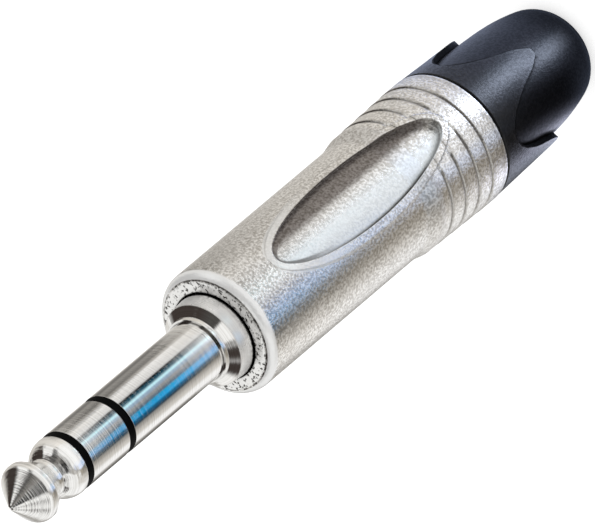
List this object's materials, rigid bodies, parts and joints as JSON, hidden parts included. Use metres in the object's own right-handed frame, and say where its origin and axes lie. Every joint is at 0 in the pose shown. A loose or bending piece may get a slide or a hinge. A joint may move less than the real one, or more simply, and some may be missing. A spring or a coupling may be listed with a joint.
{
  "type": "stereo jack plug",
  "caption": "Straight stereo jack plug: turned tip, ring and sleeve on a satin shell with an oval recess, fine grip grooves and a lobed screw-on cable boot.",
  "frame": {"origin": "on the plug's axis in the plane of the boot's end ring", "axes": "+Z along the axis from the cable end to the tip, -Y towards the oval recess"},
  "size_m": [0.0146, 0.0146, 0.09],
  "materials": {
    "nickel_contact": "polished nickel plate on turned brass",
    "satin_shell": "bead-blasted satin nickel plate on a zinc casting",
    "black_insulator": "smooth black",
    "tinned_tag": "dull tin plate on pressed brass",
    "liner_plastic": "smooth black",
    "chuck_plastic": "moulded acetal",
    "bushing_plastic": "moulded, fine matt grain",
    "boot_rubber": "matt"
  },
  "bodies": {
    "housing": {"tip_contact": "nickel_contact", "tip_insulator": "black_insulator", "ring_contact": "nickel_contact", "ring_insulator": "black_insulator", "sleeve_contact": "nickel_contact", "sleeve_tag": "tinned_tag", "ring_washer": "black_insulator", "ring_tag": "tinned_tag", "tip_washer": "black_insulator", "tip_tag": "tinned_tag", "shell": "satin_shell", "insulating_liner": "liner_plastic"},
    "chuck": {"clamp_chuck": "chuck_plastic"},
    "rear_bushing": {"bushing": "bushing_plastic", "boot": "boot_rubber"}
  },
  "joints": [
    {"name": "chuck_draw", "type": "slide", "parent": "housing", "child": "chuck", "axis": [0, 0, -1], "range_m": [0, 0.00625]},
    {"name": "bushing_turn", "type": "hinge", "parent": "chuck", "child": "rear_bushing", "pos_m": [0, 0, 0.018], "axis": [0, 0, -1], "range_deg": [0, 1800]}
  ],
  "couplings": [
    {"joint": "bushing_turn", "follows": "chuck_draw", "rad_per_m": 5026.5}
  ]
}
